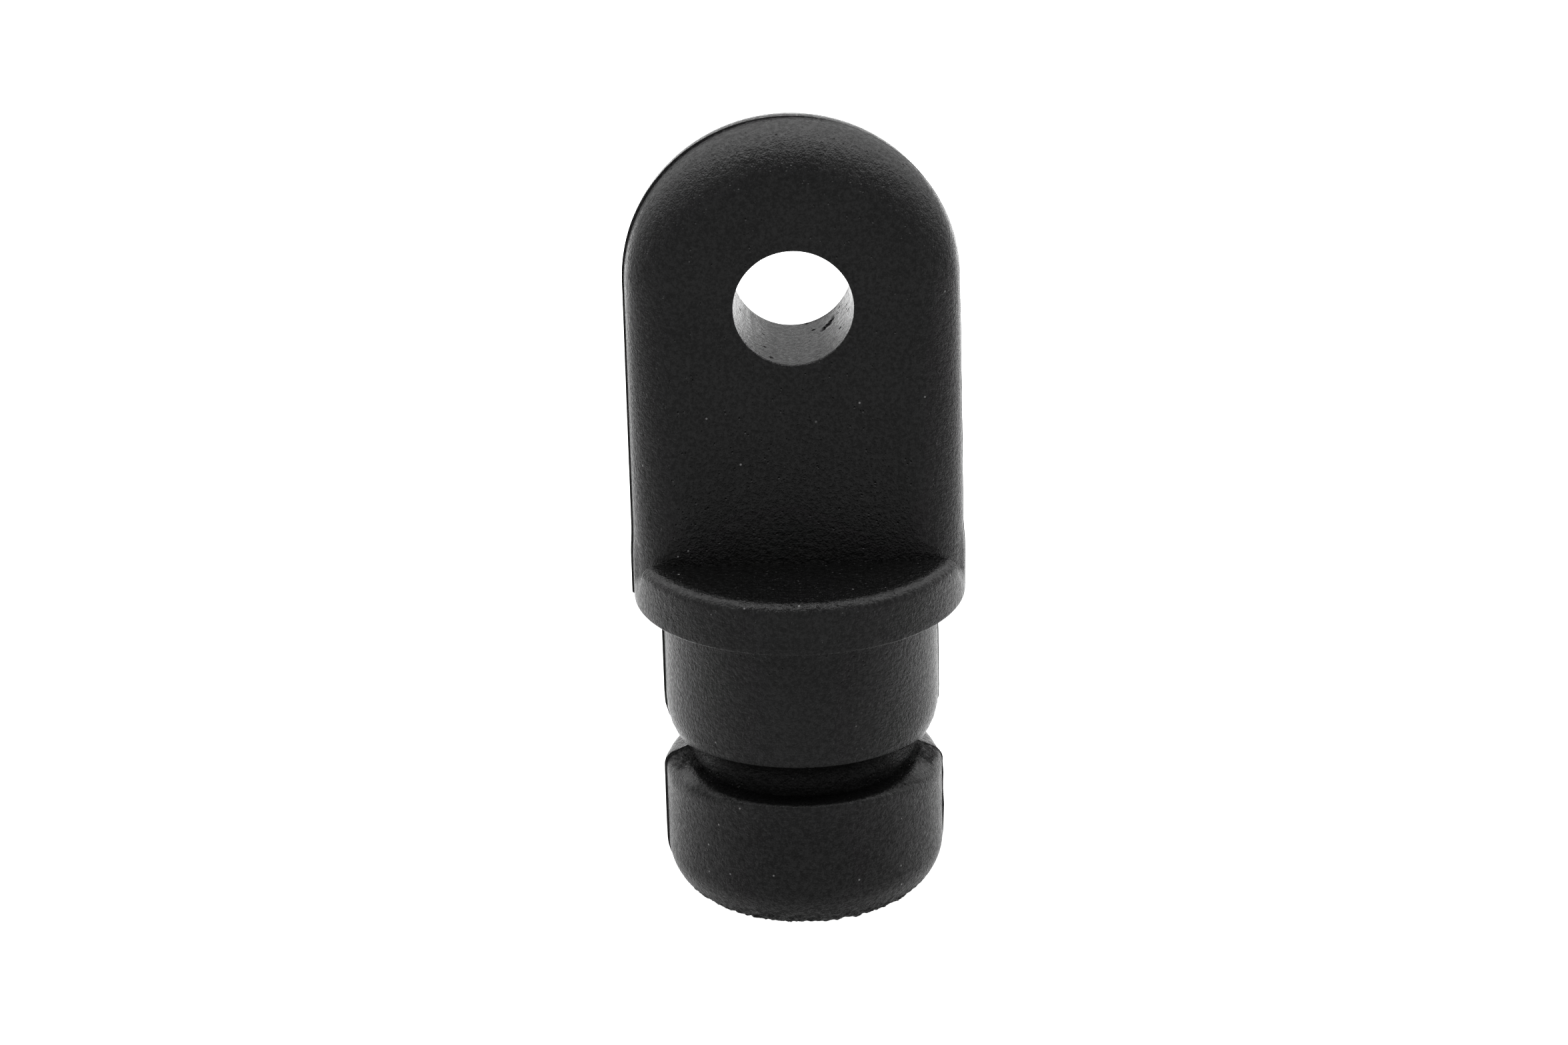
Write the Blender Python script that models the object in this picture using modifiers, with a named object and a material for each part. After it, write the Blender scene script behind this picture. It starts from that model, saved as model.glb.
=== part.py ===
"""Inside eye end for a round canopy tube: a flat tongue with an eye, a collar and a grooved plug.

The fitting is one moulding. It stands on its plug, with +Z along the tube's axis, and the mould
parts on the plane Y = 0. The origin is the centre of the plug's lower face.
"""

import math

import bmesh
import bpy

MM = 0.001

# The tube that the plug goes into. The collar is flush with the tube's outside.
TUBE_OUTSIDE = 22.0 * MM
TUBE_WALL = 1.5 * MM
UPPER_LAND_CLEARANCE = 0.4 * MM
LOWER_LAND_CLEARANCE = 0.25 * MM

# The plug, from its lower face up to the tube's seat.
LOWER_LAND_HEIGHT = 9.7 * MM
GROOVE_WIDTH = 2.8 * MM
GROOVE_DEPTH = 1.7 * MM
UPPER_LAND_HEIGHT = 8.9 * MM
PLUG_ROUNDING = 3.4 * MM
LAND_EDGE = 0.25 * MM

# The webs that the mould leaves across the groove, at the parting plane.
WEB_DEPTH = 2.05 * MM
WEB_TOE = 0.3 * MM
WEB_HALF_WIDTH = 4.2 * MM
WEB_TIP_HALF_WIDTH = 0.8 * MM
RIDGE_HEIGHT = 0.45 * MM
RIDGE_END = 0.5 * MM
RIDGE_HALF_WIDTH = 1.3 * MM
RIDGE_TIP_HALF_WIDTH = 0.15 * MM

# The collar.
COLLAR_HEIGHT = 3.5 * MM
COLLAR_UPPER_ROUNDING = 0.6 * MM
COLLAR_LOWER_EDGE = 0.15 * MM

# The tongue, measured from the collar's ledge. Its sides stand just inside the collar's cylinder.
TONGUE_LENGTH = 29.75 * MM
TONGUE_THICKNESS = 7.7 * MM
TONGUE_SIDE_STEP = 0.05 * MM
RIM_FLAT = 0.3 * MM

# The eye. Its centre lies a little below the centre of the tongue's round top.
BORE_DIAMETER = 8.0 * MM
BORE_DROP = 0.9 * MM

# How finely round shapes are divided, and how far cutters and joined shapes run past each other.
TURN_STEPS = 96
ARC_STEPS = 6
RIM_STEPS = 7
TOP_STEPS = 48
BORE_STEPS = 64
OVERRUN = 1.0 * MM
WELD = 0.001 * MM
SMOOTH_UP_TO = math.radians(32)
FLAT_WITHIN = math.radians(1)

# Sizes that follow from the ones above.
COLLAR_RADIUS = TUBE_OUTSIDE / 2
TUBE_INSIDE_RADIUS = COLLAR_RADIUS - TUBE_WALL
UPPER_LAND_RADIUS = TUBE_INSIDE_RADIUS - UPPER_LAND_CLEARANCE
LOWER_LAND_RADIUS = TUBE_INSIDE_RADIUS - LOWER_LAND_CLEARANCE
NECK_RADIUS = UPPER_LAND_RADIUS - GROOVE_DEPTH
GROOVE_BOTTOM = LOWER_LAND_HEIGHT
GROOVE_TOP = GROOVE_BOTTOM + GROOVE_WIDTH
SEAT_HEIGHT = GROOVE_TOP + UPPER_LAND_HEIGHT
LEDGE_HEIGHT = SEAT_HEIGHT + COLLAR_HEIGHT
TONGUE_HALF_WIDTH = COLLAR_RADIUS - TONGUE_SIDE_STEP
TONGUE_FOOT = SEAT_HEIGHT + COLLAR_HEIGHT / 4
ARC_HEIGHT = LEDGE_HEIGHT + TONGUE_LENGTH - TONGUE_HALF_WIDTH
BORE_HEIGHT = ARC_HEIGHT - BORE_DROP


def clear_scene():
    for obj in list(bpy.data.objects):
        bpy.data.objects.remove(obj, do_unlink=True)


def new_collection(name):
    collection = bpy.data.collections.new(name)
    bpy.context.scene.collection.children.link(collection)
    return collection


def arc(centre_x, centre_z, radius, start, end, steps):
    """Points along an arc, from one angle to the other, in degrees from +X towards +Z."""
    turn = [math.radians(start + (end - start) * i / steps) for i in range(steps + 1)]
    return [(centre_x + radius * math.cos(a), centre_z + radius * math.sin(a)) for a in turn]


def turned(name, profile, collection, closed):
    """A profile in X and Z, turned about Z. It runs down its outer side."""
    mesh = bpy.data.meshes.new(name)
    shape = bmesh.new()
    verts = [shape.verts.new((x, 0, z)) for x, z in profile]
    ends = verts[1:] + verts[:1] if closed else verts[1:]
    for here, there in zip(verts, ends):
        shape.edges.new((here, there))
    shape.to_mesh(mesh)
    shape.free()
    obj = bpy.data.objects.new(name, mesh)
    collection.objects.link(obj)
    screw = obj.modifiers.new("turn", "SCREW")
    screw.axis = "Z"
    screw.steps = TURN_STEPS
    screw.render_steps = TURN_STEPS
    screw.use_merge_vertices = True
    screw.merge_threshold = WELD
    return obj


def extruded(name, outline, half_depth, collection):
    """A closed outline given in two axes, extruded both ways along the third, as a welded mesh.

    The curve lies in its own X and Y, and depth runs along its Z.
    """
    curve = bpy.data.curves.new(name, "CURVE")
    curve.dimensions = "2D"
    curve.fill_mode = "BOTH"
    curve.extrude = half_depth
    spline = curve.splines.new("POLY")
    spline.points.add(len(outline) - 1)
    for point, (x, y) in zip(spline.points, outline):
        point.co = (x, y, 0, 1)
    spline.use_cyclic_u = True
    source = bpy.data.objects.new(name + "_outline", curve)
    collection.objects.link(source)
    graph = bpy.context.evaluated_depsgraph_get()
    mesh = bpy.data.meshes.new_from_object(source.evaluated_get(graph))
    bpy.data.objects.remove(source)
    shape = bmesh.new()
    shape.from_mesh(mesh)
    bmesh.ops.remove_doubles(shape, verts=shape.verts, dist=WELD)
    bmesh.ops.dissolve_limit(shape, angle_limit=FLAT_WITHIN, verts=shape.verts, edges=shape.edges)
    shape.to_mesh(mesh)
    shape.free()
    obj = bpy.data.objects.new(name, mesh)
    collection.objects.link(obj)
    return obj


def as_cutter(obj):
    obj.hide_render = True
    obj.display_type = "WIRE"
    return obj


def combine(obj, other, operation):
    boolean = obj.modifiers.new(other.name, "BOOLEAN")
    boolean.operation = operation
    boolean.solver = "EXACT"
    boolean.object = other


def plug_and_collar(collection):
    """The turned body: collar, upper land, groove and lower land."""
    profile = [(0, LEDGE_HEIGHT)]
    profile += arc(
        COLLAR_RADIUS - COLLAR_UPPER_ROUNDING,
        LEDGE_HEIGHT - COLLAR_UPPER_ROUNDING,
        COLLAR_UPPER_ROUNDING,
        90,
        0,
        ARC_STEPS,
    )
    profile += [
        (COLLAR_RADIUS, SEAT_HEIGHT + COLLAR_LOWER_EDGE),
        (COLLAR_RADIUS - COLLAR_LOWER_EDGE, SEAT_HEIGHT),
        (UPPER_LAND_RADIUS, SEAT_HEIGHT),
        (UPPER_LAND_RADIUS, GROOVE_TOP + LAND_EDGE),
        (UPPER_LAND_RADIUS - LAND_EDGE, GROOVE_TOP),
        (NECK_RADIUS, GROOVE_TOP),
        (NECK_RADIUS, GROOVE_BOTTOM),
        (LOWER_LAND_RADIUS - LAND_EDGE, GROOVE_BOTTOM),
        (LOWER_LAND_RADIUS, GROOVE_BOTTOM - LAND_EDGE),
    ]
    profile += arc(LOWER_LAND_RADIUS - PLUG_ROUNDING, PLUG_ROUNDING, PLUG_ROUNDING, 0, -90, 2 * ARC_STEPS)
    profile += [(0, 0)]
    return turned("eye_end", profile, collection, closed=False)


def groove_web(collection):
    """The material that narrows the groove at the parting plane, under the upper land."""
    inside = NECK_RADIUS - LAND_EDGE
    above = GROOVE_TOP + LAND_EDGE
    tip = GROOVE_TOP - WEB_DEPTH
    ring = [
        (inside, above),
        (UPPER_LAND_RADIUS - LAND_EDGE, above),
        (UPPER_LAND_RADIUS - LAND_EDGE, GROOVE_TOP),
        (NECK_RADIUS + WEB_TOE, tip + WEB_TOE),
        (NECK_RADIUS, tip),
        (inside, tip),
    ]
    web = turned("groove_web", ring, collection, closed=True)
    wedge = extruded(
        "groove_web_wedge",
        [
            (-WEB_HALF_WIDTH, above + OVERRUN),
            (-WEB_HALF_WIDTH, GROOVE_TOP),
            (-WEB_TIP_HALF_WIDTH, tip - OVERRUN),
            (WEB_TIP_HALF_WIDTH, tip - OVERRUN),
            (WEB_HALF_WIDTH, GROOVE_TOP),
            (WEB_HALF_WIDTH, above + OVERRUN),
        ],
        COLLAR_RADIUS,
        collection,
    )
    stand_across(wedge)
    combine(web, as_cutter(wedge), "INTERSECT")
    return as_cutter(web)


def groove_ridge(collection):
    """The low ridge on top of the lower land, along the parting plane."""
    inside = NECK_RADIUS - LAND_EDGE
    below = GROOVE_BOTTOM - LAND_EDGE
    top = GROOVE_BOTTOM + RIDGE_HEIGHT
    ring = [
        (inside, top),
        (NECK_RADIUS, top),
        (LOWER_LAND_RADIUS - RIDGE_END, GROOVE_BOTTOM),
        (LOWER_LAND_RADIUS - RIDGE_END, below),
        (inside, below),
    ]
    ridge = turned("groove_ridge", ring, collection, closed=True)
    wedge = extruded(
        "groove_ridge_wedge",
        [
            (-RIDGE_HALF_WIDTH, below - OVERRUN),
            (-RIDGE_HALF_WIDTH, GROOVE_BOTTOM),
            (-RIDGE_TIP_HALF_WIDTH, top),
            (-RIDGE_TIP_HALF_WIDTH, top + OVERRUN),
            (RIDGE_TIP_HALF_WIDTH, top + OVERRUN),
            (RIDGE_TIP_HALF_WIDTH, top),
            (RIDGE_HALF_WIDTH, GROOVE_BOTTOM),
            (RIDGE_HALF_WIDTH, below - OVERRUN),
        ],
        COLLAR_RADIUS,
        collection,
    )
    stand_across(wedge)
    combine(ridge, as_cutter(wedge), "INTERSECT")
    return as_cutter(ridge)


def stand_across(obj):
    """Turns a flat outline so that its width runs along Y, its height along Z and its depth along X."""
    obj.rotation_euler = (math.radians(90), 0, math.radians(90))


def stand_facing(obj):
    """Turns a flat outline so that its width runs along X, its height along Z and its depth along Y."""
    obj.rotation_euler = (math.radians(90), 0, 0)


def tongue(collection):
    """The flat tongue with its half-round top. Its rims are rounded, its foot is inside the collar."""
    outline = [(-TONGUE_HALF_WIDTH, TONGUE_FOOT), (TONGUE_HALF_WIDTH, TONGUE_FOOT)]
    outline += arc(0, ARC_HEIGHT, TONGUE_HALF_WIDTH, 0, 180, TOP_STEPS)
    obj = extruded("tongue", outline, TONGUE_THICKNESS / 2, collection)
    stand_facing(obj)
    shape = bmesh.new()
    shape.from_mesh(obj.data)
    rim_edges = [
        edge
        for edge in shape.edges
        if abs(edge.verts[0].co.z - edge.verts[1].co.z) < WELD
        and max(vert.co.y for vert in edge.verts) > TONGUE_FOOT + WELD
    ]
    bmesh.ops.bevel(
        shape,
        geom=rim_edges,
        offset=(TONGUE_THICKNESS - RIM_FLAT) / 2,
        offset_type="OFFSET",
        segments=RIM_STEPS,
        profile=0.5,
        affect="EDGES",
        clamp_overlap=False,
    )
    shape.to_mesh(obj.data)
    shape.free()
    return as_cutter(obj)


def bore(collection):
    """The eye's cross bore, along Y."""
    mesh = bpy.data.meshes.new("bore")
    shape = bmesh.new()
    bmesh.ops.create_cone(
        shape,
        cap_ends=True,
        segments=BORE_STEPS,
        radius1=BORE_DIAMETER / 2,
        radius2=BORE_DIAMETER / 2,
        depth=TONGUE_THICKNESS + 2 * OVERRUN,
    )
    shape.to_mesh(mesh)
    shape.free()
    obj = bpy.data.objects.new("bore", mesh)
    obj.location = (0, 0, BORE_HEIGHT)
    obj.rotation_euler = (math.radians(90), 0, 0)
    collection.objects.link(obj)
    return as_cutter(obj)


def black_nylon():
    material = bpy.data.materials.new("black_nylon")
    material.use_nodes = True
    shader = material.node_tree.nodes["Principled BSDF"]
    shader.inputs["Base Color"].default_value = (0.014, 0.015, 0.015, 1)
    shader.inputs["Roughness"].default_value = 0.42
    shader.inputs["Metallic"].default_value = 0.0
    return material


def settle(obj):
    """Replaces the object's modifiers with their result, shaded smooth up to its real edges."""
    graph = bpy.context.evaluated_depsgraph_get()
    mesh = bpy.data.meshes.new_from_object(obj.evaluated_get(graph))
    obj.modifiers.clear()
    obj.data = mesh
    mesh.name = obj.name
    mesh.shade_smooth()
    mesh.set_sharp_from_angle(angle=SMOOTH_UP_TO)
    mesh.materials.clear()
    mesh.materials.append(black_nylon())


def build():
    clear_scene()
    parts = new_collection("inside_eye_end")
    cutters = new_collection("cutters")
    eye_end = plug_and_collar(parts)
    combine(eye_end, groove_web(cutters), "UNION")
    combine(eye_end, groove_ridge(cutters), "UNION")
    combine(eye_end, tongue(cutters), "UNION")
    combine(eye_end, bore(cutters), "DIFFERENCE")
    settle(eye_end)


build()
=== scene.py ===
"""Visual model of a black nylon inside eye end for a 22 mm canopy tube.

The moulding is one closed skin: a turned plug with a locking groove, a collar, and a tongue with rolled
rims and a cross bore. All shaping is worked in millimetres and scaled to metres at the end.
"""

import math

import bmesh
import bpy
import numpy as np
from mathutils import Matrix, Vector, noise


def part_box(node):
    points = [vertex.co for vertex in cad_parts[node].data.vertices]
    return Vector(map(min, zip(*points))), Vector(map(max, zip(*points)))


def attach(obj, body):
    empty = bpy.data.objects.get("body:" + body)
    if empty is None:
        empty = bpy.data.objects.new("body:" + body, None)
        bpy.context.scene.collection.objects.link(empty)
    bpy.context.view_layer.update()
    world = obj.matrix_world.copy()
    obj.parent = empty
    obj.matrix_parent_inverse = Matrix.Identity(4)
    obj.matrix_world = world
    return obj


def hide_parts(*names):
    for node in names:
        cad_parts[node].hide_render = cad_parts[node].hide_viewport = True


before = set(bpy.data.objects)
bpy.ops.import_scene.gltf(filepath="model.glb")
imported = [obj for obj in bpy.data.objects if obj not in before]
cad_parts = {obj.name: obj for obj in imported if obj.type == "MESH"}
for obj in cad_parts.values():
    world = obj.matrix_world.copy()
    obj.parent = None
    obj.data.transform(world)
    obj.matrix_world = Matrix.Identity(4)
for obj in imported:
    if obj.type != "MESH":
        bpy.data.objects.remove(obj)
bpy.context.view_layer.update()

MM = 0.001
node_low, node_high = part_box("eye_end")

# ---------------------------------------------------------------- sizes of the moulding, in millimetres
COLLAR_RADIUS = (node_high.x - node_low.x) / MM / 2 + 0.06
TONGUE_TOP = node_high.z / MM

# The lower land stands on a flat face and is heavily rounded below.
LOWER_LAND_RADIUS = 9.31
LOWER_LAND_TOP = 9.78
LOWER_ROUNDING = 3.4
LOWER_FLAT_RADIUS = LOWER_LAND_RADIUS - LOWER_ROUNDING

# Its shoulder is fully round this close to the parting plane, and crisp at the front and back.
SHOULDER_STRAIGHT_TO = 7.6
SHOULDER_LEAST_ROUNDING = 0.26
SHOULDER_MOST_ROUNDING = 1.4
SHOULDER_ROUND_WITHIN = 3.0

# The groove: a ledge that dips inwards, a neck, and a hollow roof under the upper land.
LEDGE_DIP = 0.2
NECK_RADIUS = 7.3
NECK_ROUNDING = 1.75
UPPER_LAND_RADIUS = 9.16
UPPER_LAND_FOOT = 12.5
UPPER_LAND_EDGE = 0.07
BLEND_TOP = 14.2

# At the parting plane the ledge climbs to a ridge and the upper land runs out into the neck. These are
# the distances from the plane over which each of the two fades.
RIDGE_FULL_WITHIN = 0.1
RIDGE_GONE_BY = 1.7
SWEEP_FULL_WITHIN = 0.3
SWEEP_GONE_BY = 6.2
RIDGE_ROUNDING = 0.85
RIDGE_FOOT = LOWER_LAND_TOP - 1.0
RIDGE_TOP = LOWER_LAND_TOP + 0.36

COLLAR_FOOT = 21.4
COLLAR_TOP = 24.94
COLLAR_EDGE = 0.76
COLLAR_TIP_EDGE = 2.7
TIP_EDGE_WITHIN = 0.3
PLAIN_EDGE_FROM = 2.2
COLLAR_LOWER_EDGE = 0.15
COLLAR_INNER_CORNER = 0.12

TONGUE_HALF_WIDTH = COLLAR_RADIUS - 0.09
TONGUE_HALF_THICKNESS = 3.85
RIM_FLAT = 0.3
RIM_RADIUS = TONGUE_HALF_THICKNESS - RIM_FLAT / 2
FOOT_TOP = COLLAR_TOP + 0.02
LEAN_TOP = COLLAR_TOP + 1.5
LEAST_LEDGE = 0.01
# How close to the collar's wall the rim leans out to it, and how far in it stands upright.
LEAN_WITHIN = 0.09
NO_LEAN_FROM = 0.24

BORE_RADIUS = 3.94
BORE_HEIGHT = 42.8
BORE_SIDE_STEP = 0.1
BORE_EDGE = 0.06
GOUGE_ANGLE = -54.5
GOUGE_MIDDLE_Y = 1.75
GOUGE_LIE = 40.0
GOUGE_LENGTH = 1.45
GOUGE_WIDTH = 0.34
GOUGE_DEPTH = 0.36

# The two mould halves closed a little out of register, and left a thin flash along their joint.
FRONT_STEP_X = 0.09
REAR_STEP_X = -0.04
HALF_STEP_Z = 0.06
# The height of the round top's centre. The rear half's step makes up the tongue's full height.
ARC_HEIGHT = TONGUE_TOP - HALF_STEP_Z - TONGUE_HALF_WIDTH
# The flash's half thickness at its crest and at its foot, and how far it stands out.
FLASH_CREST = 0.012
FLASH_FOOT = 0.06
FLASH_LEAST = 0.012
FLASH_ON_PLUG = 0.018
FLASH_ON_RIGHT = 0.03
FLASH_ON_CAP = 0.05
FLASH_ON_RIDGE = 0.05

# Wear: torn skin at the groove's ends, chips on the dressed rounding, and a faint sway of the walls.
TEAR_UP = 0.11
TEAR_OUT = 0.08
CHIP_DEPTH = 0.1
WALL_SWAY = 0.02

# How finely the skin is divided.
RIM_STEPS = 18
FACE_STEPS = 150
EDGE_STEPS = 8
LEDGE_STEPS = 12
SIDE_STEPS = 44
TOP_STEPS = 120
POLAR_STEPS = 16
BORE_STEPS = 34
# How far the rings round the bore follow the face's edge, and not an even spacing.
FACING_SHARE = 0.6
# Edges that turn by more than this many degrees stay sharp.
SHARP_FROM = 38.0


def ease(value, low, high):
    """0 below low, 1 above high, and a smooth step between."""
    t = min(max((value - low) / (high - low), 0.0), 1.0)
    return t * t * (3 - 2 * t)


def arc_points(centre, radius, start, end, steps):
    """Points on a circular arc in the (radius, height) plane, both ends included."""
    points = []
    for i in range(steps + 1):
        angle = math.radians(start + (end - start) * i / steps)
        points.append((centre[0] + radius * math.cos(angle), centre[1] + radius * math.sin(angle)))
    return points


def line_points(start, end, steps):
    """Evenly spaced points after start, up to and including end."""
    return [
        (start[0] + (end[0] - start[0]) * i / steps, start[1] + (end[1] - start[1]) * i / steps)
        for i in range(1, steps + 1)
    ]


def matched(points, guide):
    """Points along the first path at the same fractions of length as the guide's points."""
    path = np.array(points)
    run = np.concatenate([[0], np.cumsum(np.hypot(*np.diff(path, axis=0).T))])
    lead = np.array(guide)
    lead_run = np.concatenate([[0], np.cumsum(np.hypot(*np.diff(lead, axis=0).T))])
    wanted = lead_run / lead_run[-1] * run[-1]
    return list(zip(np.interp(wanted, run, path[:, 0]), np.interp(wanted, run, path[:, 1])))


# ---------------------------------------------------------------- the turned plug and collar
def base_rows():
    """The lower face, the wide rounding round it and the lower land's wall, up to the shoulder."""
    middle = (0.6, 0.0)
    rows = [middle] + line_points(middle, (LOWER_FLAT_RADIUS - 0.25, 0.0), 3)
    rows += arc_points((LOWER_FLAT_RADIUS, LOWER_ROUNDING), LOWER_ROUNDING, -90, 0, 34)
    return rows + line_points(rows[-1], (LOWER_LAND_RADIUS, SHOULDER_STRAIGHT_TO), 7)


def groove_rows(rounding, ridge, sweep):
    """From the lower land's shoulder over the ledge and up the neck to the upper land.

    At the parting plane the ledge climbs to a ridge, and the upper land runs out into the neck: ridge and
    sweep say how much of each this column has."""
    land = (LOWER_LAND_RADIUS, SHOULDER_STRAIGHT_TO)
    wall_top = LOWER_LAND_TOP - rounding
    shoulder = line_points(land, (LOWER_LAND_RADIUS, wall_top), 4)
    shoulder += arc_points((LOWER_LAND_RADIUS - rounding, wall_top), rounding, 0, 90, 12)[1:]
    shoulder += line_points(shoulder[-1], (NECK_RADIUS, LOWER_LAND_TOP - LEDGE_DIP), 6)
    climb = line_points(land, (LOWER_LAND_RADIUS, RIDGE_FOOT), 4)
    climb += arc_points((LOWER_LAND_RADIUS - RIDGE_ROUNDING, RIDGE_FOOT), RIDGE_ROUNDING, 0, 70, 8)[1:]
    climb += line_points(climb[-1], (NECK_RADIUS + 0.25, RIDGE_TOP), 9)

    roof_centre = (NECK_RADIUS + NECK_ROUNDING, UPPER_LAND_FOOT - NECK_ROUNDING)
    neck = [shoulder[-1]] + line_points(shoulder[-1], (NECK_RADIUS, roof_centre[1]), 6)
    neck += arc_points(roof_centre, NECK_ROUNDING, 180, 90, 12)[1:]
    notch = [climb[-1]]
    for beyond_neck, z in ((0.17, 10.3), (0.2, 10.55), (0.38, 10.78)):
        notch.append((NECK_RADIUS + beyond_neck, z))

    edge = UPPER_LAND_EDGE
    flow = [neck[-1]] + line_points(neck[-1], (UPPER_LAND_RADIUS - edge, UPPER_LAND_FOOT), 2)
    flow += arc_points((UPPER_LAND_RADIUS - edge, UPPER_LAND_FOOT + edge), edge, -90, 0, 4)[1:]
    flow += line_points(flow[-1], (UPPER_LAND_RADIUS, BLEND_TOP), 4)
    run_out = [notch[-1]]
    for short_of_land, z in ((1.16, 10.98), (0.81, 11.4), (0.5, 11.95), (0.24, 12.5), (0.08, 13.1)):
        run_out.append((UPPER_LAND_RADIUS - short_of_land, z))
    run_out += [(UPPER_LAND_RADIUS, 13.8), (UPPER_LAND_RADIUS, BLEND_TOP)]

    rows = blended(shoulder, matched(climb, shoulder), ridge)
    rows += blended(neck, matched(notch, neck), sweep)[1:]
    return rows + blended(flow, matched(run_out, flow), sweep)[1:]


def blended(first, second, weight):
    """The first path's points, each moved this share of the way to its partner in the second path."""
    return [(a[0] + (b[0] - a[0]) * weight, a[1] + (b[1] - a[1]) * weight) for a, b in zip(first, second)]


def collar_edge(x, y):
    """The rounding of the collar's upper edge: widest where the tongue's rim comes down onto it."""
    room = COLLAR_RADIUS - math.hypot(x, y)
    return COLLAR_EDGE + (COLLAR_TIP_EDGE - COLLAR_EDGE) * (1 - ease(room, TIP_EDGE_WITHIN, PLAIN_EDGE_FROM))


def collar_rows(upper_edge):
    """The upper land's wall, the collar's underside and the collar's wall, up to its upper rounding."""
    inner = COLLAR_INNER_CORNER
    rows = line_points((UPPER_LAND_RADIUS, BLEND_TOP), (UPPER_LAND_RADIUS, COLLAR_FOOT - inner), 9)
    rows += arc_points((UPPER_LAND_RADIUS + inner, COLLAR_FOOT - inner), inner, 180, 90, 3)[1:]
    edge = COLLAR_LOWER_EDGE
    rows += line_points(rows[-1], (COLLAR_RADIUS - edge, COLLAR_FOOT), 3)
    rows += arc_points((COLLAR_RADIUS - edge, COLLAR_FOOT + edge), edge, -90, 0, 4)[1:]
    return rows + line_points(rows[-1], (COLLAR_RADIUS, COLLAR_TOP - upper_edge), 6)


def plug_column(x, y, angle):
    """The whole profile, (radius, height), of the column at this angle round the plug."""
    off_plane = UPPER_LAND_RADIUS * abs(math.sin(angle))
    spread = SHOULDER_MOST_ROUNDING - SHOULDER_LEAST_ROUNDING
    rounding = SHOULDER_MOST_ROUNDING - spread * ease(off_plane, SHOULDER_ROUND_WITHIN, UPPER_LAND_RADIUS)
    ridge = 1 - ease(off_plane, RIDGE_FULL_WITHIN, RIDGE_GONE_BY)
    sweep = 1 - ease(off_plane, SWEEP_FULL_WITHIN, SWEEP_GONE_BY)
    groove = groove_rows(rounding, ridge, sweep)
    return base_rows() + groove + collar_rows(collar_edge(x, y))


def rim_stations():
    """(inset from the outline, y) from the front face's edge round the rim to the back face's edge."""
    front = []
    for i in range(RIM_STEPS, -1, -1):
        turn = math.pi / 2 * i / RIM_STEPS
        front.append((RIM_RADIUS * (1 - math.cos(turn)), -RIM_FLAT / 2 - RIM_RADIUS * math.sin(turn)))
    back = [(inset, -y) for inset, y in reversed(front)]
    seam = [(0.0, -FLASH_FOOT), (0.0, -FLASH_CREST), (0.0, FLASH_CREST), (0.0, FLASH_FOOT)]
    return front + seam + back


STATIONS = rim_stations()
RIM_COUNT = len(STATIONS) - 1


def foot_columns():
    """(x, y, angle) of each column: its place in the tongue's section, and its angle round the plug."""
    face_half = TONGUE_HALF_WIDTH - RIM_RADIUS
    tip = math.asin(TONGUE_HALF_THICKNESS / COLLAR_RADIUS)
    fractions = [i / FACE_STEPS for i in range(1, FACE_STEPS)]
    columns = [(TONGUE_HALF_WIDTH - d, y, math.asin(y / COLLAR_RADIUS)) for d, y in STATIONS]
    for f in fractions:
        angle = tip + (math.pi - 2 * tip) * f
        columns.append((face_half * (1 - 2 * f), TONGUE_HALF_THICKNESS, angle))
    for d, y in reversed(STATIONS):
        columns.append((d - TONGUE_HALF_WIDTH, y, math.pi - math.asin(y / COLLAR_RADIUS)))
    for f in fractions:
        angle = math.pi + tip + (math.pi - 2 * tip) * f
        columns.append((face_half * (2 * f - 1), -TONGUE_HALF_THICKNESS, angle))
    return columns


class Skin:
    """Points and faces of one closed surface: quads, but for a fan at the middle of the lower face."""

    def __init__(self):
        self.points = []
        self.faces = []

    def row(self, points):
        first = len(self.points)
        self.points.extend(points)
        return list(range(first, len(self.points)))

    def join(self, low, high, closed=True):
        count = len(low)
        for i in range(count if closed else count - 1):
            j = (i + 1) % count
            self.faces.append((low[i], low[j], high[j], high[i]))


def collar_top_path(x, y, angle):
    """Points from the collar's wall over its edge and the ledge to the tongue's foot, for one column.

    Towards the tongue's sides the ledge narrows to nothing and the rim comes down onto the rounded edge.
    At the sides themselves the rim leans out and runs straight into the wall. Also returned are how much
    of the lean this column has, and the step from its foot out to the wall."""
    wall = Vector((COLLAR_RADIUS * math.cos(angle), COLLAR_RADIUS * math.sin(angle)))
    foot = Vector((x, y))
    room = COLLAR_RADIUS - foot.length
    edge = collar_edge(x, y)
    start = COLLAR_TOP - edge
    edge_end = math.acos(max(1 - room / edge, 0.0))
    natural = []
    for i in range(1, EDGE_STEPS + 1):
        turn = edge_end * i / EDGE_STEPS
        inset = edge * (1 - math.cos(turn))
        at = wall.lerp(foot, inset / room).normalized() * (COLLAR_RADIUS - inset)
        natural.append(Vector((at.x, at.y, start + edge * math.sin(turn))))

    shelf = natural[-1]
    base = Vector((x, y, shelf.z))
    top = Vector((x, y, FOOT_TOP))
    flat_steps = LEDGE_STEPS if room > edge + LEAST_LEDGE else 0
    up_steps = LEDGE_STEPS + 1 - flat_steps
    natural += [shelf.lerp(base, i / flat_steps) for i in range(1, flat_steps + 1)]
    natural += [base.lerp(top, i / up_steps) for i in range(1, up_steps + 1)]

    own = ease(room, LEAN_WITHIN, NO_LEAN_FROM)
    path = []
    for i, point in enumerate(natural):
        z = start + (FOOT_TOP - start) * (i + 1) / len(natural)
        across = foot + (wall - foot) * flare(z)
        run_in = Vector((across.x, across.y, z))
        path.append(tuple(run_in.lerp(point, own)))
    return path, (1 - own, wall - foot)


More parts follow.
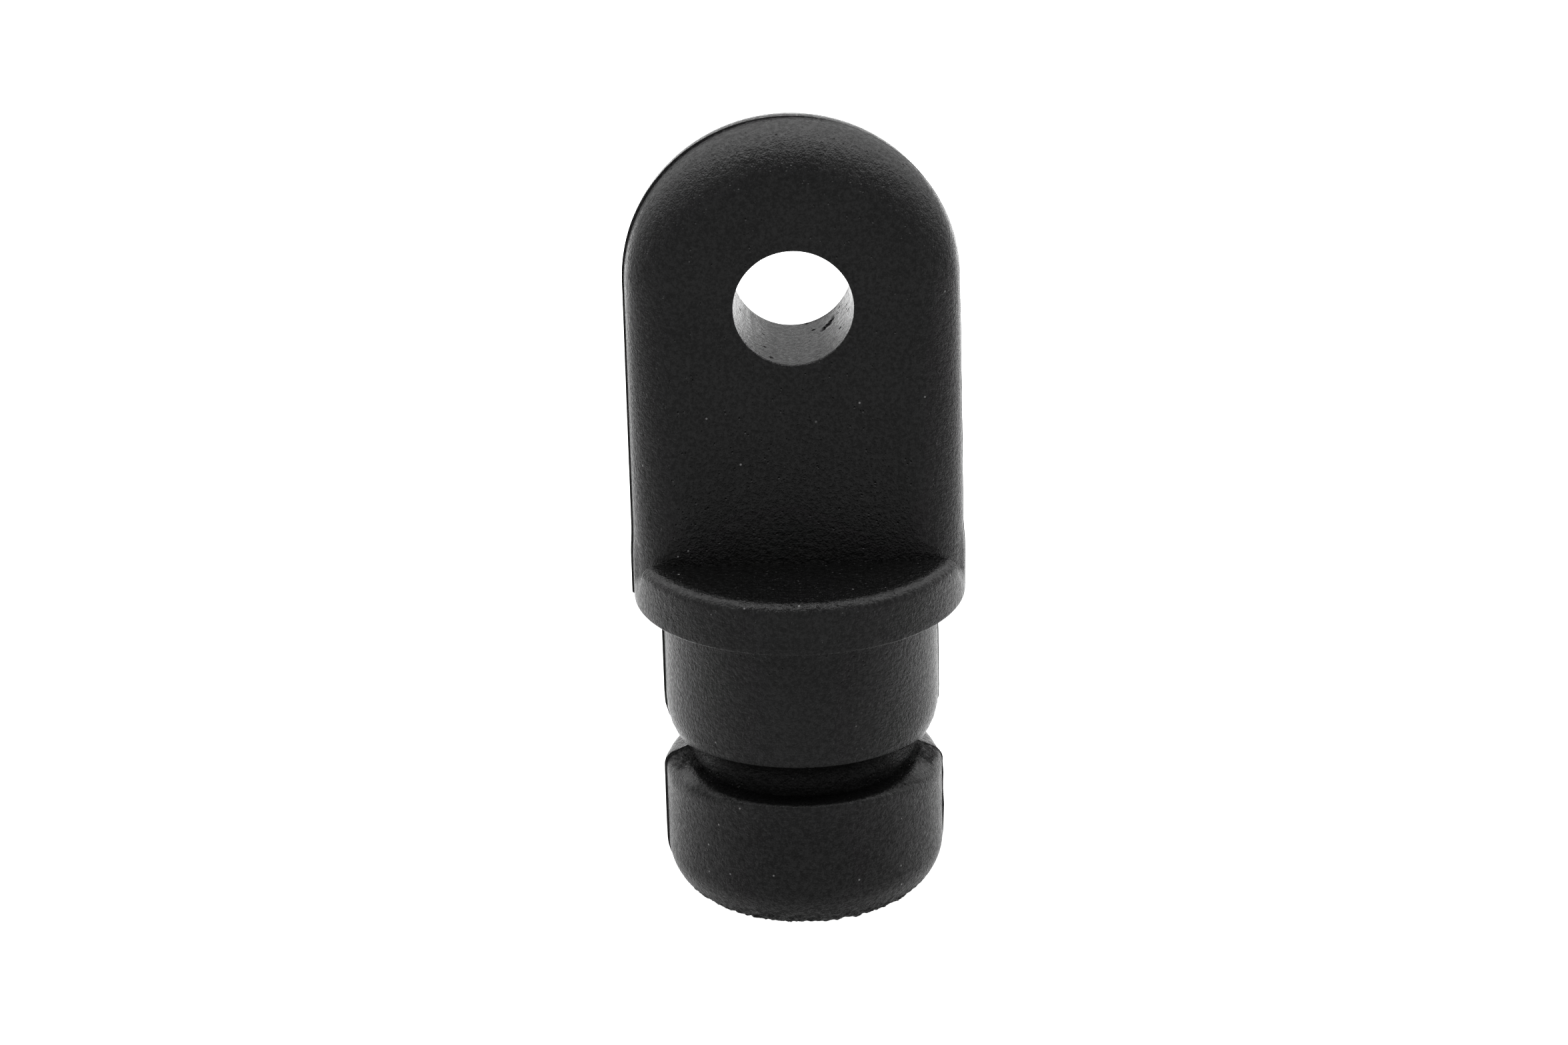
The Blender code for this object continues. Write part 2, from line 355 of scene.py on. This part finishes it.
def flare(z):
    """How far the rim leans out to the collar's wall at this height, 1 at the wall and 0 above."""
    return 1 - ease(z, COLLAR_TOP - COLLAR_EDGE, LEAN_TOP)


def gouge_depth(turn, y):
    """The depth of the torn gouge in the bore's wall at this angle and place along the bore."""
    turn = (turn + math.pi) % (2 * math.pi) - math.pi
    at = Vector((BORE_RADIUS * (turn - math.radians(GOUGE_ANGLE)), y - GOUGE_MIDDLE_Y))
    lie = math.radians(GOUGE_LIE)
    along = at.x * math.cos(lie) + at.y * math.sin(lie)
    across = at.y * math.cos(lie) - at.x * math.sin(lie)
    ends = 1 - ease(abs(along), GOUGE_LENGTH * 0.3, GOUGE_LENGTH * 0.55)
    return GOUGE_DEPTH * ends * (1 - ease(abs(across), 0.04, GOUGE_WIDTH * 0.6))


def add_plug(skin, columns):
    """The closed lower face, the plug and the collar's wall, row by row. Returns the last row."""
    count = len(columns)
    profiles = [plug_column(*column) for column in columns]
    rows = []
    for level in zip(*profiles):
        points = []
        for (r, z), (_, _, angle) in zip(level, columns):
            points.append((r * math.cos(angle), r * math.sin(angle), z))
        rows.append(skin.row(points))
    centre = skin.row([(0.0, 0.0, 0.0)])[0]
    for i in range(count):
        skin.faces.append((rows[0][(i + 1) % count], rows[0][i], centre))
    for low, high in zip(rows, rows[1:]):
        skin.join(low, high)
    return rows[-1]


def add_collar_top(skin, wall_row, paths):
    """Over the collar's edge to the tongue's foot. Returns the foot's row."""
    last = wall_row
    for level in zip(*paths):
        row = skin.row(level)
        skin.join(last, row)
        last = row
    return last


def add_rim(skin, foot, lean):
    """The rim as one strip: up the right side, over the top, down the left side."""
    right = list(range(RIM_COUNT + 1))
    left = [RIM_COUNT + FACE_STEPS + RIM_COUNT - i for i in range(RIM_COUNT + 1)]
    strip = [[foot[i] for i in right]]

    def side_row(sign, z, members):
        points = []
        for (d, y), member in zip(STATIONS, members):
            weight, offset = lean[member]
            shift = offset * weight * flare(z)
            points.append((sign * (TONGUE_HALF_WIDTH - d) + shift.x, y + shift.y, z))
        return skin.row(points)

    heights = [FOOT_TOP + (ARC_HEIGHT - FOOT_TOP) * i / SIDE_STEPS for i in range(1, SIDE_STEPS + 1)]
    for z in heights:
        strip.append(side_row(1, z, right))
    for i in range(1, TOP_STEPS):
        turn = math.pi * i / TOP_STEPS
        points = []
        for d, y in STATIONS:
            r = TONGUE_HALF_WIDTH - d
            points.append((r * math.cos(turn), y, ARC_HEIGHT + r * math.sin(turn)))
        strip.append(skin.row(points))
    for z in reversed(heights):
        strip.append(side_row(-1, z, left))
    strip.append([foot[i] for i in left])
    for low, high in zip(strip, strip[1:]):
        skin.join(low, high, closed=False)
    return strip


def bore_directions(skin, loop):
    """The angle round the bore of each point of a face's edge, evened out a little."""
    facing = []
    for index in loop:
        x, _, z = skin.points[index]
        turn = math.atan2(z - BORE_HEIGHT, x - BORE_SIDE_STEP)
        if facing and turn < facing[-1] - math.pi:
            turn += 2 * math.pi
        facing.append(turn)
    even = [facing[0] + 2 * math.pi * i / len(loop) for i in range(len(loop))]
    return [FACING_SHARE * a + (1 - FACING_SHARE) * b for a, b in zip(facing, even)]


def bore_ring(directions, radius, y):
    """One ring round the bore at this place along it, dented where the gouge crosses it."""
    points = []
    for turn in directions:
        r = radius + gouge_depth(turn, y)
        points.append((BORE_SIDE_STEP + r * math.cos(turn), y, BORE_HEIGHT + r * math.sin(turn)))
    return points


def add_face(skin, loop, directions, y):
    """One face of the tongue, ring by ring from its edge in to the bore. Returns the bore's edge."""
    edge = bore_ring(directions, BORE_RADIUS + BORE_EDGE, y)
    rings = [loop]
    for k in range(1, POLAR_STEPS + 1):
        f = k / POLAR_STEPS
        points = []
        for index, target in zip(loop, edge):
            x, stand, z = skin.points[index]
            height = z + (target[2] - z) * f
            lean_out = (stand - y) * flare(height) / max(flare(z), 0.01)
            points.append((x + (target[0] - x) * f, y + lean_out, height))
        rings.append(skin.row(points))
    for low, high in zip(rings, rings[1:]):
        skin.join(low, high)
    return rings[-1]


def add_bore_wall(skin, front_edge, back_edge, directions):
    """The bore's wall from front to back, with its edges eased. Returns the range of its points."""
    start = len(skin.points)
    corner = (BORE_RADIUS + BORE_EDGE, BORE_EDGE - TONGUE_HALF_THICKNESS)
    eased = arc_points(corner, BORE_EDGE, 270, 180, 4)[1:]
    half = TONGUE_HALF_THICKNESS - BORE_EDGE
    stations = eased + [(BORE_RADIUS, -half + 2 * half * i / BORE_STEPS) for i in range(1, BORE_STEPS)]
    stations += [(r, -y) for r, y in reversed(eased)]
    last = front_edge
    for r, y in stations:
        ring = skin.row(bore_ring(directions, r, y))
        skin.join(last, ring)
        last = ring
    skin.join(last, back_edge)
    return range(start, len(skin.points))


def moulding_skin():
    """The whole skin before flash and wear, and which of its points are the bore's wall."""
    skin = Skin()
    columns = foot_columns()
    wall_row = add_plug(skin, columns)
    tops = [collar_top_path(*column) for column in columns]
    foot = add_collar_top(skin, wall_row, [path for path, _ in tops])
    strip = add_rim(skin, foot, [lean for _, lean in tops])

    corner = RIM_COUNT + FACE_STEPS
    front_foot = [foot[i] for i in range(corner + RIM_COUNT, len(columns))] + [foot[0]]
    back_foot = [foot[i] for i in range(corner, RIM_COUNT - 1, -1)]
    front_loop = front_foot + [row[0] for row in strip[1:-1]]
    back_loop = back_foot + [row[-1] for row in strip[1:-1]]
    directions = bore_directions(skin, front_loop)
    front_edge = add_face(skin, front_loop, directions, -TONGUE_HALF_THICKNESS)
    back_edge = add_face(skin, back_loop, directions, TONGUE_HALF_THICKNESS)
    bore_points = add_bore_wall(skin, front_edge, back_edge, directions)
    return skin, bore_points


# ---------------------------------------------------------------- flash, wear and the mould's register
def rough(x, y, z, pitch, seed):
    """Smooth noise, about -1 to 1, that changes over this many millimetres."""
    return 1.6 * noise.noise(Vector((x / pitch + seed, y / pitch - seed, z / pitch + 0.37 * seed)))


def flash_height(x, z):
    """How far the flash stands out at this place along the joint: most on the right of the lower land."""
    right = ease(x, -2.0, 2.0)
    below_groove = 1 - ease(z, 8.6, 9.4)
    upper_land = ease(z, 12.6, 13.4) * (1 - ease(z, 20.5, 21.5))
    plug = upper_land + below_groove * ease(z, 2.5, 5.0)
    height = FLASH_LEAST + FLASH_ON_PLUG * plug
    height += FLASH_ON_RIGHT * right * (plug + 1 - ease(z, 40.0, 46.0))
    height += FLASH_ON_CAP * right * below_groove * ease(z, 3.0, 5.5)
    wave = 0.9 + 0.25 * rough(x, 0.0, z, 2.6, 3.0) + 0.2 * rough(x, 0.0, z, 0.8, 8.0)
    return height * min(max(wave, 0.4), 1.5)


def with_flash(x, y, z):
    """Pushes a point on the joint outwards, away from the plug's axis or the round top's centre."""
    centre = Vector((0.0, 0.0, ARC_HEIGHT)) if z > ARC_HEIGHT else Vector((0.0, 0.0, z))
    out = (Vector((x, 0.0, z)) - centre).normalized()
    height = flash_height(x, z)
    ridge = ease(z, 9.2, 9.6) * (1 - ease(z, 10.3, 10.7))
    return x + out.x * height, y, z + out.z * height + FLASH_ON_RIDGE * ridge


def torn_share(y, z, r):
    """Where the skin is torn: at the groove's two ends, on the front half."""
    off_plane = abs(y)
    across = ease(off_plane, 0.15, 0.5) * (1 - ease(off_plane, 1.9, 2.6))
    up = ease(z, 8.9, 9.4) * (1 - ease(z, 10.4, 10.9))
    inwards = ease(r, 7.5, 7.8) * (1 - ease(r, 8.6, 9.1))
    return across * up * inwards if y < 0 else 0.0


def with_wear(x, y, z):
    """Torn skin at the groove's ends, and the rough lower rounding where the moulding was dressed."""
    r = math.hypot(x, y)
    out = Vector((x, y, 0.0)).normalized() if r > 0.01 else Vector((1.0, 0.0, 0.0))
    torn = torn_share(y, z, r)
    if torn > 0:
        pit = rough(x, y, z, 0.3, 11.0) + 0.6 * rough(x, y, z, 0.17, 5.0)
        z += TEAR_UP * torn * pit
        x += out.x * TEAR_OUT * torn * pit
        y += out.y * TEAR_OUT * torn * pit
    low_rounding = (1 - ease(z, 0.5, 1.9)) * ease(r, 4.6, 5.6)
    if low_rounding > 0:
        chip = 0.6 * rough(x, y, z, 0.55, 2.0) + rough(x, y, z, 0.3, 7.0)
        slope = math.radians(90 * min(max((r - LOWER_FLAT_RADIUS) / LOWER_ROUNDING, 0.0), 1.0) - 90)
        push = CHIP_DEPTH * low_rounding * chip
        x += out.x * push * math.cos(slope)
        y += out.y * push * math.cos(slope)
        z = max(z + push * math.sin(slope), 0.0)
    sway = WALL_SWAY * rough(x, y, z, 5.0, 4.0) * ease(z, 2.0, 4.0)
    return x + out.x * sway, y + out.y * sway, z


def out_of_register(points, bore_points):
    """Adds the flash and the wear, and slides the two mould halves apart at the parting plane; the bore
    is a single core's, so it stays."""
    moved = []
    for i, (x, y, z) in enumerate(points):
        if i in bore_points:
            moved.append((x, y, z))
            continue
        if abs(y) < FLASH_FOOT / 2 and z > 0.5:
            x, y, z = with_flash(x, y, z)
        elif z < COLLAR_FOOT:
            x, y, z = with_wear(x, y, z)
        if y > 0:
            moved.append((x + REAR_STEP_X, y, z + HALF_STEP_Z * ease(z, 0.0, 6.0)))
        else:
            moved.append((x + FRONT_STEP_X, y, z))
    return moved


def make_moulding():
    """The finished mesh object, shaded smooth, with only true edges left sharp."""
    skin, bore_points = moulding_skin()
    points = out_of_register(skin.points, bore_points)
    mesh = bpy.data.meshes.new("eye_end_moulding")
    mesh.from_pydata([(x * MM, y * MM, z * MM) for x, y, z in points], [], skin.faces)
    body = bmesh.new()
    body.from_mesh(mesh)
    bmesh.ops.recalc_face_normals(body, faces=body.faces)
    body.to_mesh(mesh)
    body.free()
    mesh.polygons.foreach_set("use_smooth", [True] * len(mesh.polygons))
    mesh.set_sharp_from_angle(angle=math.radians(SHARP_FROM))
    moulding = bpy.data.objects.new("eye_end_moulding", mesh)
    bpy.context.scene.collection.objects.link(moulding)
    weighted = moulding.modifiers.new("even_shading", "WEIGHTED_NORMAL")
    weighted.keep_sharp = True
    return moulding


# ---------------------------------------------------------------- materials
# How fine the specks and the bore's blots are, in cells to the metre, and the bump's full depth in metres.
SPECK_SCALE = 1400.0
BLOT_SCALE = 1350.0
GRAIN_DEPTH = 0.00009
# The floor's glow is mixed as a share of this level, because a mix factor stops at 1.
BRIGHTEST_FLOOR = 3.0


class Value:
    """A socket that can be used in an expression; each operation adds its node."""

    def __init__(self, net, socket):
        self.net = net
        self.socket = socket

    def math(self, operation, *operands):
        return self.net.add("Math", {"operation": operation}, dict(enumerate(operands)))

    def __add__(self, other):
        return self.math("ADD", self, other)

    def __radd__(self, other):
        return self.math("ADD", other, self)

    def __sub__(self, other):
        return self.math("SUBTRACT", self, other)

    def __rsub__(self, other):
        return self.math("SUBTRACT", other, self)

    def __mul__(self, other):
        return self.math("MULTIPLY", self, other)

    def __truediv__(self, other):
        return self.math("DIVIDE", self, other)

    def __pow__(self, other):
        return self.math("POWER", self, other)

    def size(self):
        return self.math("ABSOLUTE", self)

    def step(self, low, high):
        """A smooth step from 0 at low to 1 at high."""
        settings = {"interpolation_type": "SMOOTHSTEP"}
        return self.net.add("MapRange", settings, {"Value": self, "From Min": low, "From Max": high})


class Net:
    """One node tree. add() makes any node, sets it up and links or fills its sockets."""

    def __init__(self, tree):
        self.tree = tree
        tree.nodes.clear()

    def add(self, kind, settings=None, inputs=None, output=0):
        node = self.tree.nodes.new("ShaderNode" + kind)
        for name, value in (settings or {}).items():
            setattr(node, name, value)
        for key, value in (inputs or {}).items():
            if isinstance(value, Value):
                self.tree.links.new(value.socket, node.inputs[key])
            else:
                node.inputs[key].default_value = value
        return Value(self, node.outputs[output]) if len(node.outputs) else None

    def blend(self, first, second, factor):
        """A colour between the two."""
        return self.add("Mix", {"data_type": "RGBA"}, {0: factor, 6: first, 7: second}, output=2)

    def part(self, vector, axis):
        """One component of a vector."""
        return self.add("SeparateXYZ", None, {0: vector}, output=axis)

    def millimetres(self, place):
        """The three components of a place, in millimetres."""
        return [self.part(place, axis) / MM for axis in range(3)]

    def noise(self, place, scale, detail, **more):
        """Soft noise about 0.5, with scale features to the metre."""
        return self.add("TexNoise", None, {"Vector": place, "Scale": scale, "Detail": detail, **more})

    def spots(self, place, scale, inner, outer):
        """Round spots, one to each cell, 1 inside and 0 outside."""
        cell = self.add("TexVoronoi", None, {"Vector": place, "Scale": scale}, output="Distance")
        return 1 - cell.step(inner, outer)

    def luck(self, place, scale, axis):
        """A chance value from 0 to 1 for each cell of the spots at the same scale."""
        cell = self.add("TexVoronoi", None, {"Vector": place, "Scale": scale}, output="Color")
        return self.part(cell, axis)


def grey(level, warmth=0.0):
    """An opaque grey, redder with a warmth above 0 and bluer below it."""
    return (level * (1 + warmth), level, level * (1 - warmth), 1.0)


def groove_masks(net, place):
    """The part of the groove that lies in shade, and the torn skin at its ends."""
    side, depth, up = net.millimetres(place)
    radius = (side * side + depth * depth) ** 0.5
    groove = up.step(8.5, 9.4) * (1 - up.step(12.4, 12.8)) * (1 - radius.step(9.1, 9.3))
    shaded = groove * (1 - side.size().step(5.2, 6.6) * depth.step(-5.5, -4.0))
    torn = groove * depth.step(-3.2, -1.8) * (1 - depth.step(-0.5, 0.0))
    return shaded, torn


def bore_mask(net, place):
    """1 in the bore's wall, 0 on the rest of the moulding."""
    side, depth, up = net.millimetres(place)
    from_side = side - BORE_SIDE_STEP
    from_height = up - BORE_HEIGHT
    from_axis = (from_side * from_side + from_height * from_height) ** 0.5
    return (1 - from_axis.step(BORE_RADIUS + 0.3, BORE_RADIUS + 0.35)) * depth.step(-3.8, -3.6)


def dust_mask(net, place, up):
    """Light specks, in drifts, and more of them low down."""
    drift = net.noise(place, 210.0, 1.0).step(0.5, 0.68) * 0.1 + (1 - up.step(2.0, 4.5)) * 0.09
    chosen = (net.luck(place, SPECK_SCALE, 0) + drift).step(0.962, 0.974)
    return net.spots(place, SPECK_SCALE, 0.05, 0.14) * chosen


def black_nylon():
    """Satin black nylon with a fine moulded grain.

    The grain is in the bump and in how much of the surface reflects. The bore has drawn streaks and dark
    blots. The groove's shaded part, the low rounding and the lower land are painted with shade, by mixing in
    a dark matt surface; the low rounding is also rougher where the moulding was dressed."""
    material = bpy.data.materials.new("black_nylon_moulded")
    material.use_nodes = True
    net = Net(material.node_tree)
    place = net.add("TexCoord", output="Object")
    up = net.millimetres(place)[2]
    shaded, torn = groove_masks(net, place)
    in_bore = bore_mask(net, place)
    # The low rounding: rougher where the moulding was dressed, and painted with shade, darker towards the
    # floor.
    low_rounding = 1 - up.step(0.8, 2.4)
    # Painted shade over the lower land, darker towards the bottom.
    lower_land_shade = 1 - up.step(6.5, 10.5)

    grain = net.noise(place, 9500.0, 2.0, Roughness=0.6)
    pebble = net.noise(place, 3600.0, 2.0)
    dimple = net.noise(place, 1300.0, 2.0)
    cloud = net.noise(place, 260.0, 3.0)
    flow = net.noise(place, 70.0, 2.0)
    coarse = net.noise(place, 5200.0, 3.0, Distortion=1.5)
    pit = net.spots(place, 2600.0, 0.08, 0.28) * dimple.step(0.5, 0.62)
    drawn = net.add("Mapping", None, {"Vector": place, "Scale": (1.0, 0.06, 1.0)})
    streak = net.noise(drawn, 2400.0, 3.0)
    blot = net.spots(place, BLOT_SCALE, 0.1, 0.24) * net.luck(place, BLOT_SCALE, 1).step(0.62, 0.68)
    blot = blot * in_bore

    mottle = (grain * 0.45 + pebble * 0.45 + cloud * 0.1).step(0.38, 0.62)
    colour = net.blend(grey(0.0001, -0.03), grey(0.0034, -0.02), mottle)
    colour = net.blend(colour, grey(0.16), dust_mask(net, place, up))
    roughness = 0.11 + grain * 0.1 + cloud * 0.08 + flow * 0.03
    roughness = roughness + shaded * 0.15 + low_rounding * 0.12 + in_bore * (streak - 0.45) * 0.3
    height = grain * 0.6 + pebble * 0.7 + dimple * 0.4 - pit * 0.8
    height = height + coarse * (torn * 3.0 + low_rounding) + in_bore * (streak * 0.9 - blot * 1.5)
    bump = net.add("Bump", None, {"Strength": 1.0, "Distance": GRAIN_DEPTH, "Height": height})
    look = {"Base Color": colour, "Roughness": roughness, "Normal": bump, "IOR": 1.29}
    glossy = net.add("BsdfPrincipled", None, look)
    # A dark matt surface, mixed in for the bore's blots and the grain, and as painted shade.
    matt_and_shade = net.add("BsdfDiffuse", None, {"Color": grey(0.003), "Normal": bump})
    # Painted shade: the groove's shaded part, the low rounding and the lower land take on the dark matt
    # surface; the blots and the grain are the nylon's own.
    dull_and_shade = shaded * 0.35 + low_rounding * 0.3 + lower_land_shade * 0.2 + blot * 0.75 + (1 - mottle) * 0.36
    shader = net.add("MixShader", None, {0: dull_and_shade, 1: glossy, 2: matt_and_shade})
    net.add("OutputMaterial", None, {"Surface": shader})
    return material


def floor_level(net, place):
    """How brightly the floor glows: most close behind the moulding, less far out at the sides."""
    side, depth, _ = net.millimetres(place)
    out = side.size()
    reach = (side * side + depth * depth) ** 0.5
    foot = 1 - reach.step(22, 40)
    near = (1 - reach.step(55, 95)) * depth.step(-30, 30)
    front = (0.0 - depth).step(45, 70)
    wide = out.step(70, 100) * depth.step(-40, -15)
    back = depth.step(45, 80) * (1 - out.step(65, 100))
    far = depth.step(90, 130) * (1 - out.step(100, 140))
    level = 0.34 + foot * 0.07 + near * 0.46 + front * 0.05 + far * 1.1
    level = level - wide * (0.14 + side.step(0, 50) * 0.05)
    return level + back * (0.4 + (0.0 - side).step(30, 70) * 0.12)


def pale_floor():
    """A pale card with a fine fibre that glows softly."""
    material = bpy.data.materials.new("pale_studio_floor")
    material.use_nodes = True
    net = Net(material.node_tree)
    place = net.add("TexCoord", output="Object")
    colour = net.blend(grey(0.11), grey(0.13), net.noise(place, 900.0, 4.0))
    glow = net.blend(grey(0.0), grey(BRIGHTEST_FLOOR), floor_level(net, place) / BRIGHTEST_FLOOR)
    look = {"Base Color": colour, "Roughness": 0.9, "Specular IOR Level": 0.1}
    shader = net.add("BsdfPrincipled", None, {**look, "Emission Color": glow, "Emission Strength": 1.9})
    net.add("OutputMaterial", None, {"Surface": shader})
    return material


def light_tent():
    """A soft tent of light: brightest overhead, bright behind, and even elsewhere but for a darker gap in
    front of the overhead light."""
    world = bpy.data.worlds.new("light_tent")
    bpy.context.scene.world = world
    world.use_nodes = True
    net = Net(world.node_tree)
    direction = net.add("TexCoord", output="Generated")
    depth = net.part(direction, 1)
    up = net.part(direction, 2)
    over = depth.step(-0.36, -0.2) * up.step(0.3, 1.0) * (1 - depth.step(0.1, 0.8) * 0.85)
    behind = depth.step(0.1, 0.4) * (1 - depth.step(0.7, 0.95) * 0.8)
    gap = depth.step(-0.7, -0.5) * (1 - depth.step(-0.38, -0.3)) * up.step(0.4, 0.8)
    strength = 1.0 + over * 5.4 + behind * 1.1 - gap * 0.5
    background = net.add("Background", None, {"Color": grey(1.0), "Strength": strength})
    net.add("OutputWorld", None, {"Surface": background})


def studio():
    """The floor and the light, neither of them part of the moulding."""
    half = 2.0
    mesh = bpy.data.meshes.new("studio_floor")
    corners = [(-half, -half, 0.0), (half, -half, 0.0), (half, half, 0.0), (-half, half, 0.0)]
    mesh.from_pydata(corners, [], [(0, 1, 2, 3)])
    floor = bpy.data.objects.new("studio_floor", mesh)
    bpy.context.scene.collection.objects.link(floor)
    mesh.materials.append(pale_floor())
    light_tent()
    bpy.context.scene.view_settings.view_transform = "Standard"


# ---------------------------------------------------------------- camera
CAMERA_DISTANCE = 0.35042
CAMERA_ELEVATION = 22.649
CAMERA_AZIMUTH = 0.176
CAMERA_ROLL = -1.473
CAMERA_LENS = 120.93
CAMERA_TARGET = Vector((0, 0, 0.026))
CAMERA_TURN = 0.1405
CAMERA_TILT = 0.0378


def make_camera():
    """A camera aimed at the target from its azimuth and elevation, then rolled, turned and tilted."""
    azimuth = math.radians(CAMERA_AZIMUTH)
    elevation = math.radians(CAMERA_ELEVATION)
    level = -math.cos(elevation)
    back = Vector((math.sin(azimuth) * level, math.cos(azimuth) * level, math.sin(elevation)))
    right = (-back).cross(Vector((0, 0, 1))).normalized()
    aim = Matrix((right, right.cross(-back), back)).transposed()
    for degrees, axis in ((CAMERA_ROLL, "Z"), (CAMERA_TURN, "Y"), (CAMERA_TILT, "X")):
        aim = aim @ Matrix.Rotation(math.radians(degrees), 3, axis)
    data = bpy.data.cameras.new("camera")
    data.lens = CAMERA_LENS
    data.sensor_width = 36
    data.sensor_fit = "HORIZONTAL"
    data.clip_start = 0.01
    camera = bpy.data.objects.new("camera", data)
    camera.matrix_world = Matrix.Translation(CAMERA_TARGET + back * CAMERA_DISTANCE) @ aim.to_4x4()
    bpy.context.scene.collection.objects.link(camera)
    bpy.context.scene.camera = camera


make_camera()
studio()
moulding = make_moulding()
moulding.data.materials.append(black_nylon())
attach(moulding, "root")
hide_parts("eye_end")
